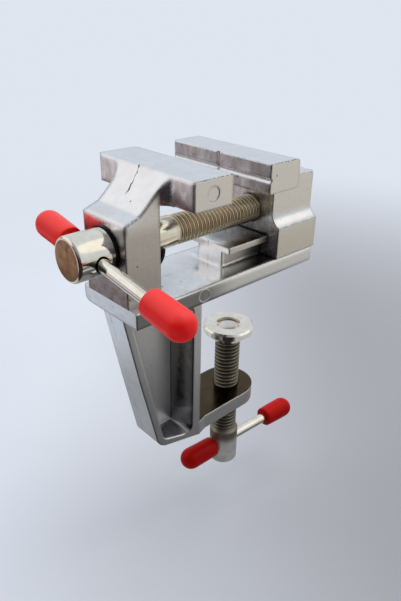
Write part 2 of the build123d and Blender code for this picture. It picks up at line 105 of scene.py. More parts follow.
# Bars and their holes
BAR_RADIUS = 1.55 * MM
BAR_HOLE_RADIUS = 1.9 * MM
BAR_HOLE_EDGE = 0.22 * MM
HANDLE_BAR_SET_IN = 5.6 * MM
HANDLE_BAR_LENGTH = 47.8 * MM
CLAMP_BAR_LENGTH = 41.9 * MM

# Grips
HANDLE_GRIP_LENGTH = 12.5 * MM
CLAMP_GRIP_LENGTH = 12.4 * MM
GRIP_MOUTH_RADIUS = 3.22 * MM
GRIP_MOUTH_EDGE = 0.35 * MM
GRIP_NOSE_RADIUS = 3.4 * MM
GRIP_TAPER_POWER = 0.6
GRIP_END_WALL = 3.35 * MM
GRIP_BORE_RADIUS = 1.01 * BAR_RADIUS
GRIP_BORE_DEPTH = 2.0 * MM
GRIP_FLARE_RADIUS = 1.1 * BAR_RADIUS
GRIP_FLARE_DEPTH = 0.12 * MM
GRIP_WAVINESS = 0.012
GRIP_WAVES_PER_METRE = 260

# How finely round forms are divided, and from which angle on an edge is sharp
ROWS_PER_TURN = 10
THREAD_SIDES = 72
MAIN_HEAD_SIDES = 120
CLAMP_HEAD_SIDES = 96
BAR_HOLE_SIDES = 48
BAR_HOLE_EDGE_STEPS = 3
CORNER_STEPS = 4
GRIP_SIDES = 64
GRIP_SLEEVE_STEPS = 12
GRIP_NOSE_STEPS = 14
SHARP_ANGLE = radians(38)
THREAD_SHARP_ANGLE = radians(70)
SAME_POINT = 0.002 * MM
SAME_PLANE = 0.02 * MM

# Castings: the bed's height, the lean of its front, and how far edges are rounded in shading
BED_TOP = 4.1 * MM
BED_FRONT_LEAN = -0.32
EDGE_RADIUS = 0.75 * MM
BED_EDGE_RADIUS = 1.9 * MM
SADDLE_EDGE_RADIUS = 1.8 * MM

# Places on the castings, each a span over which one finish fades into the next: heights
BED_FOOT_Z = mm(-1.0, 0.0)
BED_SIDE_TOP_Z = (BED_TOP, BED_TOP + 0.3 * MM)
OVER_BED_Z = (BED_TOP, BED_TOP + 0.4 * MM)
BED_FRONT_FOOT_Z = mm(-0.5, 0.5)
BED_FRONT_TOP_Z = (BED_TOP - 0.3 * MM, BED_TOP)
RAIL_TOP_LOW_Z = mm(9.0, 9.3)
RAIL_TOP_HIGH_Z = mm(10.2, 10.6)
RAIL_END_TOP_Z = mm(10.5, 11.5)
SADDLE_FOOT_Z = mm(20.5, 22.5)
POST_DARKENING_TOP_Z = mm(20.0, 24.0)
POST_SIDE_DARKENING_Z = mm(5.0, 18.0)
POST_FRONT_DARKENING_Z = mm(9.0, 13.0)
JAW_SIDE_BROWNING_Z = mm(6.0, 20.0)
REAR_BAR_FOOT_Z = mm(24.0, 26.0)
REAR_BAR_TOP_Z = mm(33.0, 34.0)
POCKET_TOP_Z = mm(-5.0, -3.0)
ARM_TOP_Z = mm(-37.0, -36.0)

# The same from front to back, and from left to right
BED_LENGTH_Y = mm(-38.0, 0.0)
POCKET_FRONT_Y = mm(-31.5, -30.0)
POST_BACK_Y = mm(-31.0, -29.0)
SADDLE_BACK_Y = mm(-29.9, -29.6)
LEG_BACK_Y = mm(-24.0, -22.0)
BED_SHADE_END_Y = mm(-22.0, -8.0)
ARM_FRONT_Y = mm(-20.5, -19.0)
JAW_FRONT_Y = mm(-12.0, -9.0)
RAIL_END_FRONT_Y = mm(-10.0, -9.0)
RAIL_END_BACK_Y = mm(-7.6, -7.2)
RAIL_TOP_FRONT_Y = mm(-7.5, -4.0)
REAR_BAR_FRONT_Y = mm(-8.0, -6.8)
REAR_BURR_LEFT_X = mm(-10.0, -6.0)

# Marks on the castings: the crack down the front saddle, where the mould's halves met
CRACK_Z = mm(26.0, 33.0)
CRACK_FOOT_Z = mm(27.2, 28.8)
CRACK_LOW_X = -0.5 * MM
CRACK_HIGH_X = -1.2 * MM
CRACK_WANDER = 0.35 * MM
CRACK_HALF_WIDTH = 0.20 * MM
CRACK_BLUR = 0.08 * MM

# The parting line on the bed and the rail's end, and the round mark of the mould's pin
PARTING_X = -0.7 * MM
PARTING_TOP_Z = mm(12.0, 13.0)
PARTING_HALF_WIDTH = 0.04 * MM
PARTING_BLUR = 0.06 * MM
PIN_MARK_Y = -20.4 * MM
PIN_MARK_RADIUS = 1.7 * MM
PIN_MARK_HALF_WIDTH = 0.08 * MM
PIN_MARK_BLUR = 0.16 * MM

# How dark the marks are beside the crack, which is fully dark
PARTING_DARKNESS = 0.7
PIT_DARKNESS = 0.8
BURR_AND_EDGE_DARKNESS = 0.93

# Colours of clean casting: each surface is a cloudy mix of two
POLISHED = ((0.83, 0.83, 0.84, 1), (0.90, 0.90, 0.91, 1))
GROUND = ((0.74, 0.72, 0.69, 1), (0.86, 0.84, 0.81, 1))
DULLED = ((0.62, 0.60, 0.61, 1), (0.95, 0.94, 0.95, 1))

# Colours of the marks: a dark one, and a bright one with its share for the rim of the pin's mark
MARK_COLOUR = (0.030, 0.027, 0.029, 1)
PIN_MARK_COLOUR = (0.93, 0.93, 0.92, 1)
PIN_MARK_SHARE = 0.8

# How rough clean casting is, what dulled faces and marks add to that, and how far marks sink in
POLISHED_ROUGHNESS = (0.14, 0.24)
GROUND_ROUGHNESS = (0.30, 0.42)
DULLED_ADDS = (0.14, 0.05)
MARKS_ADD = 0.3
MARKS_SINK = 2.5

# Darkening on the castings: how much of the metal it covers, and its colour. Painted shade on the rail's
# top, the bed's side, corners and the leg's pockets, a painted dark reflection on the arm's top, and darker
# or browner tones on the front post and the moving jaw
RAIL_TOP_PAINTED_SHADE = (0.62, (0.05, 0.05, 0.05, 1))
JAW_FRONT_DARKENING = (0.36, (0.11, 0.09, 0.09, 1))
JAW_SIDE_BROWNING = (0.28, (0.42, 0.33, 0.17, 1))
BED_SIDE_SHADE = (0.74, (0.10, 0.10, 0.095, 1))
CREVICE_SHADE = (0.80, (0.030, 0.029, 0.030, 1))
CREVICE_SHADE_REACH = 14.0 * MM
POST_SIDE_DARKENING = (0.46, 0.33)
POST_FRONT_DARKENING = (0.30, 0.0)
POST_DARKENING_COLOUR = (0.20, 0.135, 0.100, 1)
ARM_TOP_REFLECTION_COLOUR = (0.060, 0.037, 0.014, 1)

# Shares of a thread's depth over which its flanks' colour, a painted reflection, its valleys' colour,
# painted shade, and its dullness set in
FLANK_REFLECTION_DEPTH = (0.10, 0.50)
VALLEY_SHADE_DEPTH = (0.55, 1.0)
DULL_DEPTH = (0.04, 0.35)
THREAD_DULLNESS = 0.36

# The brown stain round the clamp screw's head
HEAD_STAIN_FOOT_Z = mm(-61.5, -58.5)
HEAD_STAIN_TOP_Z = mm(-50.5, -46.5)
HEAD_STAIN_COLOUR = (0.13, 0.095, 0.055, 1)

# Backdrop and floor. The floor lies under the lowest point that the clamp's handle reaches
PALE = (0.73, 0.785, 0.865, 1)
FLOOR_PALE = ((0.73, 0.77, 0.835, 1), (0.76, 0.80, 0.865, 1))
FLOOR_SHADE = (0.37, 0.37, 0.40, 1)
FLOOR_SHADE_WAY = (0.684, 0.729, 0.0)
FLOOR_SHADE_REACH = (-0.09, 0.08)
FLOOR_FADE = (0.13, 0.48)
FLOOR_HALF_WIDTH = 6.0
FLOOR_DROP = 17.5 * MM

# What polished metal mirrors of the floor is drawn nearer by this, to make up for the drop
MIRROR_SHIFT = 34.0 * MM

# Patches of the room that polished metal mirrors: each fades over a span from colour to colour
NEAR_LEFT = ((0.040, 0.085), (0.31, 0.325, 0.34, 1), (0.54, 0.58, 0.64, 1))
FAR_LEFT = ((0.185, 0.225), (0.105, 0.070, 0.076, 1), (0.60, 0.55, 0.56, 1))
NEAR_RIGHT = ((0.055, 0.082), (0.10, 0.10, 0.11, 1), (0.50, 0.53, 0.575, 1))
FAR_RIGHT = ((0.105, 0.25), (0.060, 0.048, 0.030, 1), (0.63, 0.595, 0.53, 1))
WALL = ((0.0, 0.7), (0.62, 0.68, 0.75, 1), (0.69, 0.73, 0.79, 1))
DARK_FRONT = ((0.10, 0.60), (0.05, 0.045, 0.050, 1), (0.28, 0.28, 0.30, 1))
UNLIT = (0.020, 0.019, 0.020, 1)

# Where the patches that are drawn on the floor meet
LEFT_TO_RIGHT_X = (-0.02, 0.02)
LEFT_NEAR_TO_FAR = (0.115, 0.150)
RIGHT_NEAR_TO_FAR_X = (0.085, 0.12)
UNLIT_START = (0.0, 0.025)
UNLIT_BACK_Y = (-0.035, -0.010)
TO_BACK_RIGHT = (1.0, 0.52, 0.0)
TO_FRONT_RIGHT = (1.0, -0.45, 0.0)

# The room's bright windows: direction, how nearly a ray points there at the rim, and colour
WINDOWS = (
    ((-0.66, -0.50, 0.56), (0.80, 0.90), (0.92, 0.92, 0.93, 1)),
    ((0.45, 0.58, 0.66), (0.88, 0.95), (1.03, 1.00, 0.94, 1)),
)

# Lamps: name, place, width and power
LAMPS = (
    ("key", (0.05, 0.18, 0.60), 0.5, 1.75),
    ("fill", (-0.5, -0.4, 0.35), 0.5, 0.7),
    ("rear", (0.1, 0.6, 0.4), 0.4, 0.5),
)


def make_camera():
    """The camera at the photograph's angle."""
    data = bpy.data.cameras.new("camera")
    data.sensor_width = CAMERA_SENSOR
    data.lens = CAMERA_LENS
    data.clip_start, data.clip_end = CAMERA_CLIP
    camera = bpy.data.objects.new("camera", data)
    bpy.context.scene.collection.objects.link(camera)
    look = Vector(CAMERA_LOOK).normalized()
    right = look.cross(Vector((0, 0, 1))).normalized()
    up = right.cross(look)
    rolled_right = cos(CAMERA_ROLL) * right + sin(CAMERA_ROLL) * up
    rolled_up = cos(CAMERA_ROLL) * up - sin(CAMERA_ROLL) * right
    turn = Matrix((rolled_right, rolled_up, -look)).transposed()
    camera.matrix_world = Matrix.Translation(CAMERA_PLACE) @ turn.to_4x4()
    bpy.context.scene.camera = camera


class Graph:
    """Short calls that add nodes to a material's or the world's node tree."""

    def __init__(self, tree):
        self.tree = tree

    def add(self, kind, **settings):
        node = self.tree.nodes.new(kind)
        for name, value in settings.items():
            setattr(node, name, value)
        return node

    def feed(self, socket, value):
        """Sets a socket, or links it where the value is another socket."""
        if isinstance(value, bpy.types.NodeSocket):
            self.tree.links.new(value, socket)
        else:
            socket.default_value = value

    def math(self, operation, *values):
        """An operation on one value, or on several from the left."""
        result, *others = values
        for other in others or (0.0,):
            node = self.add("ShaderNodeMath", operation=operation)
            self.feed(node.inputs[0], result)
            self.feed(node.inputs[1], other)
            result = node.outputs[0]
        return result

    def times(self, *values):
        """The product of several values."""
        return self.math("MULTIPLY", *values)

    def plus(self, *values):
        """The sum of several values."""
        return self.math("ADD", *values)

    def minus(self, a, b):
        return self.math("SUBTRACT", a, b)

    def most(self, *values):
        """The largest of several values."""
        return self.math("MAXIMUM", *values)

    def rest(self, share):
        """What a share leaves of 1."""
        return self.minus(1.0, share)

    def smooth(self, value, low, high, out_low=0.0, out_high=1.0):
        """A smooth step of value, from out_low at low to out_high at high."""
        node = self.add("ShaderNodeMapRange", interpolation_type="SMOOTHSTEP")
        for socket, item in zip(node.inputs, (value, low, high, out_low, out_high)):
            self.feed(socket, item)
        return node.outputs[0]

    def fall(self, value, low, high):
        """A smooth step of value, from 1 at low to 0 at high."""
        return self.smooth(value, low, high, 1.0, 0.0)

    def spread(self, texture, low=0.0, high=1.0):
        """A noise texture, most of which lies between 0.3 and 0.7, spread from low to high."""
        return self.smooth(texture, 0.3, 0.7, low, high)

    def band(self, value, middle, half_width, blur):
        """1 where value is within half_width of middle, falling to 0 over blur."""
        away = self.math("ABSOLUTE", self.minus(value, middle))
        return self.fall(self.minus(away, half_width), 0.0, blur)

    def noise(self, place, scale, detail=4.0, rough=0.55):
        node = self.add("ShaderNodeTexNoise")
        self.feed(node.inputs["Vector"], place)
        self.feed(node.inputs["Scale"], scale)
        self.feed(node.inputs["Detail"], detail)
        self.feed(node.inputs["Roughness"], rough)
        return node.outputs["Fac"]

    def cells(self, place, scale):
        """The distance to the nearest of many scattered points."""
        node = self.add("ShaderNodeTexVoronoi")
        self.feed(node.inputs["Vector"], place)
        self.feed(node.inputs["Scale"], scale)
        return node.outputs["Distance"]

    def vector_math(self, operation, *vectors):
        """An operation on one or two vectors."""
        node = self.add("ShaderNodeVectorMath", operation=operation)
        for socket, vector in zip(node.inputs, vectors):
            self.feed(socket, vector)
        return node.outputs["Value" if operation in ("LENGTH", "DOT_PRODUCT") else "Vector"]

    def stretch(self, vector, scale):
        return self.vector_math("MULTIPLY", vector, scale)

    def length(self, vector):
        return self.vector_math("LENGTH", vector)

    def along(self, vector, direction):
        """How far a vector reaches in a direction."""
        return self.vector_math("DOT_PRODUCT", vector, direction)

    def vector(self, x=0.0, y=0.0, z=0.0):
        """A vector put together from its three parts."""
        node = self.add("ShaderNodeCombineXYZ")
        for socket, part in zip(node.inputs, (x, y, z)):
            self.feed(socket, part)
        return node.outputs[0]

    def split(self, vector):
        node = self.add("ShaderNodeSeparateXYZ")
        self.feed(node.inputs[0], vector)
        return node.outputs[:3]

    def mix(self, share, a, b):
        node = self.add("ShaderNodeMix", data_type="RGBA")
        self.feed(node.inputs["Factor"], share)
        self.feed(node.inputs["A"], a)
        self.feed(node.inputs["B"], b)
        return node.outputs["Result"]

    def fade(self, value, span, a, b):
        """A colour that goes from a to b while value goes over a span."""
        return self.mix(self.smooth(value, *span), a, b)

    def mix_shaders(self, share, a, b):
        node = self.add("ShaderNodeMixShader")
        for socket, item in zip(node.inputs, (share, a, b)):
            self.feed(socket, item)
        return node.outputs[0]

    def glow(self, colour):
        """A shader that shows its own colour in any light."""
        node = self.add("ShaderNodeEmission")
        self.feed(node.inputs["Color"], colour)
        return node.outputs[0]

    def place(self):
        """The point's place in its body's own frame, in metres."""
        return self.add("ShaderNodeTexCoord").outputs["Object"]

    def bump(self, height, strength, distance, normal=None):
        node = self.add("ShaderNodeBump")
        self.feed(node.inputs["Strength"], strength)
        self.feed(node.inputs["Distance"], distance)
        self.feed(node.inputs["Height"], height)
        if normal is not None:
            self.feed(node.inputs["Normal"], normal)
        return node.outputs["Normal"]

    def openness(self, distance):
        """How open the surface is: 1 where nothing stands within the distance, near 0 in a corner."""
        node = self.add("ShaderNodeAmbientOcclusion", samples=6)
        self.feed(node.inputs["Distance"], distance)
        return node.outputs["AO"]

    def flat(self):
        """The direction of the mesh's flat face."""
        return self.add("ShaderNodeNewGeometry").outputs["True Normal"]

    def rounded(self, radius):
        """The surface's direction with its edges rounded, and how much the rounding turns it."""
        round_off = self.add("ShaderNodeBevel", samples=6)
        self.feed(round_off.inputs["Radius"], radius)
        soft = round_off.outputs[0]
        return soft, self.rest(self.along(soft, self.flat()))


def new_material(name):
    """A new material, with a graph for its nodes and its main shader."""
    material = bpy.data.materials.new(name)
    material.use_nodes = True
    graph = Graph(material.node_tree)
    shader = material.node_tree.nodes["Principled BSDF"]
    return material, graph, shader


class CastSurface:
    """The castings' surface: where a point lies, which way it faces, its texture and its region."""

    def __init__(self, g):
        self.place = g.place()
        self.x, self.y, self.z = g.split(self.place)
        self.cloud = g.noise(self.place, 240.0, detail=6.0, rough=0.6)
        self.grain = g.noise(self.place, 3200.0, detail=2.0)
        self.blotch = g.noise(g.stretch(self.place, (1.0, 1.0, 0.45)), 420.0, detail=5.0, rough=0.6)

        self.on_bed = g.times(g.fall(self.z, *BED_SIDE_TOP_Z), g.smooth(self.z, *BED_FOOT_Z))
        self.above_bed = g.smooth(self.z, *OVER_BED_Z)
        self.on_saddle = g.times(g.smooth(self.z, *SADDLE_FOOT_Z), g.fall(self.y, *SADDLE_BACK_Y))
        rail_end = g.times(g.fall(self.z, *RAIL_END_TOP_Z), g.smooth(self.y, *RAIL_END_FRONT_Y),
                           g.fall(self.y, *RAIL_END_BACK_Y))
        self.off_rail_end = g.rest(rail_end)

        bed_rounding = g.smooth(self.y, *BED_LENGTH_Y, 0.0, BED_EDGE_RADIUS - EDGE_RADIUS)
        edge = g.plus(EDGE_RADIUS, g.times(self.on_bed, bed_rounding),
                      g.times(self.on_saddle, SADDLE_EDGE_RADIUS - EDGE_RADIUS))
        self.soft, self.turned = g.rounded(edge)
        self.soft_x, self.soft_y, self.soft_z = g.split(self.soft)
        flat_x, self.flat_y, self.flat_z = g.split(g.flat())

        self.side = g.smooth(g.math("ABSOLUTE", flat_x), 0.85, 0.97)
        self.faces_front = g.fall(self.flat_y, -0.97, -0.85)
        lit_edge = g.times(g.smooth(self.turned, 0.005, 0.04), g.smooth(self.soft_z, 0.08, 0.30))
        self.front = g.times(self.faces_front, self.above_bed, self.off_rail_end, g.rest(lit_edge))


def clean_casting(g, cast):
    """Bright polished metal, satin on the ground sides and blotchy on what faces the front."""
    bright = g.mix(g.spread(cast.cloud), *POLISHED)
    ground = g.mix(g.smooth(cast.grain, 0.35, 0.65), *GROUND)
    dulled = g.mix(g.smooth(cast.blotch, 0.35, 0.68), *DULLED)
    return g.mix(cast.side, g.mix(cast.front, bright, dulled), ground)


def darkened_casting(g, cast, colour):
    """Darkens the casting in places: painted shade on the rail's top, the bed's side, in corners and in the
    leg's pockets, a painted dark reflection on the arm's top, and darker, browner tones on the front post
    and the moving jaw.
    """
    # The front post is made darker and browner below its saddle, most toward its foot
    on_post = g.times(g.fall(cast.z, *POST_DARKENING_TOP_Z), cast.above_bed, g.fall(cast.y, *POST_BACK_Y))
    on_side = g.times(cast.side, g.smooth(cast.z, *POST_SIDE_DARKENING_Z, *POST_SIDE_DARKENING))
    on_front = g.times(cast.front, g.smooth(cast.z, *POST_FRONT_DARKENING_Z, *POST_FRONT_DARKENING))
    colour = g.mix(g.times(on_post, g.plus(on_side, on_front)), colour, POST_DARKENING_COLOUR)

    # Painted shade on the rail's top
    rail_top = g.times(g.smooth(cast.z, *RAIL_TOP_LOW_Z), g.fall(cast.z, *RAIL_TOP_HIGH_Z),
                       g.smooth(cast.flat_z, 0.8, 0.9), g.smooth(cast.y, *RAIL_TOP_FRONT_Y))
    on_jaw = g.smooth(cast.y, *JAW_FRONT_Y)
    # The moving jaw's bar is made darker on its front face
    jaw_front = g.times(cast.front, on_jaw, g.smooth(cast.z, *REAR_BAR_FOOT_Z))
    # The moving jaw's sides are made browner low down
    jaw_side = g.times(cast.side, cast.above_bed, on_jaw, g.fall(cast.z, *JAW_SIDE_BROWNING_Z))
    bed_side = g.times(cast.side, cast.on_bed, g.fall(cast.y, *BED_SHADE_END_Y))
    # Painted shade: darker where other surfaces stand close by, and in the leg's pockets
    corner = g.times(g.fall(g.openness(CREVICE_SHADE_REACH), 0.12, 0.76), cast.off_rail_end)
    pocket = g.times(g.fall(cast.z, *POCKET_TOP_Z), g.smooth(cast.y, *POCKET_FRONT_Y),
                     g.fall(cast.flat_y, -0.80, -0.50))
    for region, (share, tint) in (
        (rail_top, RAIL_TOP_PAINTED_SHADE),
        (jaw_front, JAW_FRONT_DARKENING),
        (jaw_side, JAW_SIDE_BROWNING),
        (bed_side, BED_SIDE_SHADE),
        (g.most(corner, pocket), CREVICE_SHADE),
    ):
        colour = g.mix(g.times(region, share), colour, tint)

    # Painted dark brown reflection on the arm's top
    arm_top = g.times(g.fall(cast.z, *ARM_TOP_Z), g.smooth(cast.y, *ARM_FRONT_Y),
                      g.smooth(cast.flat_z, 0.5, 0.8))
    return g.mix(g.times(arm_top, g.smooth(cast.cloud, 0.2, 0.8, 0.97, 1.0)), colour, ARM_TOP_REFLECTION_COLOUR)


def burrs_and_edge_reflection(g, cast):
    """Dark lines where a ground side turns a sharp edge: solid where it turns to the front, a painted dark
    reflection of the rounded edge, and dotted burr marks on top.
    """
    ragged = g.smooth(g.noise(cast.place, 1500.0, detail=4.0, rough=0.7), 0.44, 0.52)
    faces_right = g.times(g.smooth(cast.soft_x, 0.25, 0.45), g.fall(cast.soft_x, 0.90, 0.97))
    before_arm = g.fall(cast.y, *LEG_BACK_Y)
    # Painted dark reflection along edges that turn to the front
    front_edge_reflection = g.times(g.fall(cast.soft_y, -0.42, -0.22), g.most(cast.above_bed, before_arm))
    to_top = g.times(g.smooth(cast.soft_z, 0.35, 0.55), ragged, cast.above_bed)
    right_edges = g.times(faces_right, g.most(front_edge_reflection, to_top))
    on_rear_bar = g.times(g.smooth(cast.y, *REAR_BAR_FRONT_Y), g.smooth(cast.z, *REAR_BAR_TOP_Z),
                          g.smooth(cast.x, *REAR_BURR_LEFT_X), ragged)
    rear_bar_edge = g.times(g.fall(cast.soft_y, -0.70, -0.35), g.smooth(cast.soft_z, 0.2, 0.4), on_rear_bar)
    return g.times(g.smooth(cast.turned, 0.012, 0.05), g.most(right_edges, rear_bar_edge))


def crack(g, cast):
    """The short ragged crack down the front saddle."""
    wander = g.noise(g.stretch(cast.place, (0.0, 0.0, 1.0)), 520.0, detail=6.0, rough=0.65)
    middle = g.plus(g.smooth(cast.z, *CRACK_Z, CRACK_LOW_X, CRACK_HIGH_X),
                    g.spread(wander, -CRACK_WANDER, CRACK_WANDER))
    half_width = g.smooth(g.noise(cast.place, 560.0), 0.36, 0.60, 0.0, CRACK_HALF_WIDTH)
    line = g.band(cast.x, middle, half_width, CRACK_BLUR)
    return g.times(line, cast.on_saddle, g.smooth(cast.z, *CRACK_FOOT_Z))


def parting_line(g, cast):
    """The thin broken line on the bed and the rail's end where the mould's halves met."""
    dashes = g.smooth(g.noise(g.stretch(cast.place, (0.0, 1.0, 1.0)), 300.0), 0.42, 0.55)
    line = g.band(cast.x, PARTING_X, PARTING_HALF_WIDTH, PARTING_BLUR)
    return g.times(line, g.fall(cast.z, *PARTING_TOP_Z), dashes)


def pin_mark(g, cast):
    """The rim of the round mark that the mould's pin left on the bed's side."""
    from_pin = g.vector(y=g.minus(cast.y, PIN_MARK_Y), z=g.minus(cast.z, BED_TOP / 2))
    rim = g.band(g.length(from_pin), PIN_MARK_RADIUS, PIN_MARK_HALF_WIDTH, PIN_MARK_BLUR)
    return g.times(rim, cast.side, cast.on_bed)


def pits(g, cast):
    """Small pits in the cast skin."""
    spots = g.fall(g.cells(cast.place, 330.0), 0.05, 0.10)
    return g.times(spots, g.smooth(g.noise(cast.place, 90.0), 0.48, 0.58))


def leaning_front(g, cast):
    """The surface's rounded direction, turned on the bed's front, which leans in toward the leg."""
    lean = g.times(cast.faces_front, g.smooth(cast.z, *BED_FRONT_TOP_Z, BED_FRONT_LEAN, 0.0),
                   g.smooth(cast.z, *BED_FRONT_FOOT_Z))
    return g.vector_math("NORMALIZE", g.vector_math("ADD", cast.soft, g.vector(z=lean)))


def cast_aluminium():
    """Polished casting: satin ground sides with dark edges, dotted burr marks on top and a painted dark
    reflection toward the front, pits, and the mould's marks.
    """
    material, g, shader = new_material("cast_aluminium")
    cast = CastSurface(g)
    colour = darkened_casting(g, cast, clean_casting(g, cast))
    colour = g.mix(g.times(pin_mark(g, cast), PIN_MARK_SHARE), colour, PIN_MARK_COLOUR)
    marks = g.most(crack(g, cast), g.times(parting_line(g, cast), PARTING_DARKNESS),
                   g.times(pits(g, cast), PIT_DARKNESS), g.times(burrs_and_edge_reflection(g, cast), BURR_AND_EDGE_DARKNESS))
    g.feed(shader.inputs["Base Color"], g.mix(marks, colour, MARK_COLOUR))
    shader.inputs["Metallic"].default_value = 1.0

    polished = g.smooth(g.noise(cast.place, 600.0), 0.35, 0.65, *POLISHED_ROUGHNESS)
    matt = g.spread(cast.grain, *GROUND_ROUGHNESS)
    dull = g.times(cast.front, g.spread(cast.blotch, *DULLED_ADDS))
    roughness = g.plus(g.times(polished, g.rest(cast.side)), g.times(matt, cast.side), dull)
    g.feed(shader.inputs["Roughness"], g.plus(roughness, g.times(marks, MARKS_ADD)))

    grain = g.times(cast.grain, g.smooth(cast.side, 0.0, 1.0, 0.25, 1.0))
    relief = g.minus(g.plus(grain, g.times(cast.blotch, 0.8)), g.times(marks, MARKS_SINK))
    waves = g.bump(cast.cloud, 0.5, 0.08 * MM, leaning_front(g, cast))
    g.feed(shader.inputs["Normal"], g.bump(relief, 0.5, 0.012 * MM, waves))
    return material


def nickel(name, plate, flank_reflection, valley_shade, roughness, metallic=1.0, stain=0.0):
    """Nickel plate in two tints. A thread turns duller from crest to root, with painted reflection on its
    flanks and painted shade in its valleys.

    Stain is how brown the upper part of the clamp screw's head is.
    """
    material, g, shader = new_material(name)
    place = g.place()
    colour = g.mix(g.spread(g.noise(place, 420.0, detail=5.0)), *plate)
    depth = g.add("ShaderNodeAttribute", attribute_name="depth").outputs["Fac"]
    uneven = g.smooth(g.noise(place, 900.0), 0.2, 0.7, 0.75, 1.0)
    # Painted reflection on the thread's flanks, then painted shade in its valleys
    colour = g.mix(g.times(g.smooth(depth, *FLANK_REFLECTION_DEPTH), uneven), colour, flank_reflection)
    colour = g.mix(g.times(g.smooth(depth, *VALLEY_SHADE_DEPTH), uneven), colour, valley_shade)
    if stain:
        height = g.split(place)[2]
        share = g.times(g.smooth(height, *HEAD_STAIN_FOOT_Z, 0.0, stain), g.fall(height, *HEAD_STAIN_TOP_Z))
        colour = g.mix(share, colour, HEAD_STAIN_COLOUR)
    g.feed(shader.inputs["Base Color"], colour)
    shader.inputs["Metallic"].default_value = metallic
    uneven_gloss = g.spread(g.noise(place, 1400.0), *roughness)
    dulled = g.smooth(depth, *DULL_DEPTH, 0.0, THREAD_DULLNESS)
    g.feed(shader.inputs["Roughness"], g.plus(uneven_gloss, dulled))
    g.feed(shader.inputs["Normal"], g.bump(g.noise(place, 1900.0, detail=3.0), 0.4, 0.008 * MM))
    return material


def browned_face():
    """The main screw's end face: thin brown oxide, cloudy, with fine bright scratches."""
    material, g, shader = new_material("browned_end")
    place = g.place()
    cloud = g.noise(place, 380.0, detail=7.0, rough=0.65)
    brown = g.mix(g.smooth(cloud, 0.3, 0.72), (0.24, 0.100, 0.038, 1), (0.46, 0.27, 0.140, 1))
    scratch = g.smooth(g.noise(g.stretch(place, (1.0, 1.0, 0.08)), 2600.0, detail=5.0), 0.66, 0.74)
    g.feed(shader.inputs["Base Color"], g.mix(g.times(scratch, 0.6), brown, (0.9, 0.8, 0.7, 1)))
    shader.inputs["Metallic"].default_value = 0.85
    g.feed(shader.inputs["Roughness"], g.spread(cloud, 0.45, 0.30))
    g.feed(shader.inputs["Normal"], g.bump(g.noise(place, 1500.0), 0.5, 0.012 * MM))
    return material


def black_oxide():
    """Blackened steel, slightly worn to grey on its edges."""
    material, g, shader = new_material("black_oxide")
    place = g.place()
    soft, turned = g.rounded(0.15 * MM)
    black = g.mix(g.spread(g.noise(place, 700.0)), (0.010, 0.010, 0.011, 1), (0.030, 0.030, 0.032, 1))
    worn = g.times(g.smooth(turned, 0.05, 0.25), g.smooth(g.noise(place, 1600.0), 0.4, 0.6), 0.4)
    g.feed(shader.inputs["Base Color"], g.mix(worn, black, (0.25, 0.24, 0.23, 1)))
    shader.inputs["Metallic"].default_value = 1.0
    g.feed(shader.inputs["Roughness"], g.spread(g.noise(place, 900.0), 0.30, 0.45))
    g.feed(shader.inputs["Normal"], g.bump(g.noise(place, 2400.0), 0.4, 0.010 * MM, soft))
    return material


def vinyl(name, deep, light, sheen):
    """Glossy red dipped vinyl, paler toward the top as a painted sheen, with a soft uneven skin."""
    material, g, shader = new_material(name)
    place = g.place()
    up = g.split(g.add("ShaderNodeNewGeometry").outputs["Normal"])[2]
    # Painted sheen: paler where the surface faces up
    painted_top_sheen = g.plus(g.smooth(up, 0.38, 0.98), g.spread(g.noise(place, 160.0), -0.1, 0.1))
    g.feed(shader.inputs["Base Color"], g.mix(painted_top_sheen, deep, light))
    g.feed(shader.inputs["Roughness"], g.spread(g.noise(place, 500.0), 0.28, 0.38))
    dimples = g.plus(g.noise(place, 260.0), g.times(g.noise(place, 1800.0), 0.15))
    g.feed(shader.inputs["Normal"], g.bump(dimples, 0.35, 0.12 * MM))
    shader.inputs["Specular IOR Level"].default_value = sheen
    return material


CASTING = cast_aluminium()
NICKEL = nickel("nickel_plate", plate=((0.84, 0.79, 0.68, 1), (0.93, 0.89, 0.80, 1)),
                flank_reflection=(0.60, 0.45, 0.22, 1), valley_shade=(0.20, 0.11, 0.03, 1), roughness=(0.07, 0.15))
GOLDEN_NICKEL = nickel("golden_nickel", plate=((0.78, 0.70, 0.52, 1), (0.93, 0.87, 0.72, 1)),
                       flank_reflection=(0.96, 0.80, 0.48, 1), valley_shade=(0.34, 0.20, 0.060, 1), roughness=(0.09, 0.16))
DULL_NICKEL = nickel("dull_nickel", plate=((0.74, 0.71, 0.65, 1), (0.92, 0.89, 0.82, 1)),
                     flank_reflection=(0.60, 0.50, 0.34, 1), valley_shade=(0.20, 0.15, 0.09, 1), roughness=(0.28, 0.40),
                     metallic=0.80, stain=0.85)
# The clamp screw's thread: nickel made dark all over as painted shade
SHADED_NICKEL = nickel("shaded_nickel", plate=((0.21, 0.19, 0.155, 1), (0.32, 0.295, 0.245, 1)),
                        flank_reflection=(0.15, 0.125, 0.085, 1), valley_shade=(0.045, 0.033, 0.020, 1),
                        roughness=(0.26, 0.38))
BROWNED = browned_face()
BLACK = black_oxide()
VINYL = vinyl("red_vinyl", deep=(0.86, 0.003, 0.001, 1), light=(0.97, 0.052, 0.048, 1), sheen=0.30)
# A darker copy of the red vinyl for the clamp's grips, as painted shade
SHADED_VINYL = vinyl("shaded_red_vinyl", deep=(0.37, 0.002, 0.001, 1), light=(0.48, 0.006, 0.004, 1), sheen=0.08)

FINISHES = {"casting": CASTING, "plated_steel": NICKEL, "black_steel": BLACK, "grip": VINYL}


def finish_nodes():
    """Gives each CAD node the material of its slot."""
    for part in frame["record"]["subparts"]:
        node = nodes[part["node"]]
        node.data.materials.clear()
        node.data.materials.append(FINISHES[part["material_slot"]])


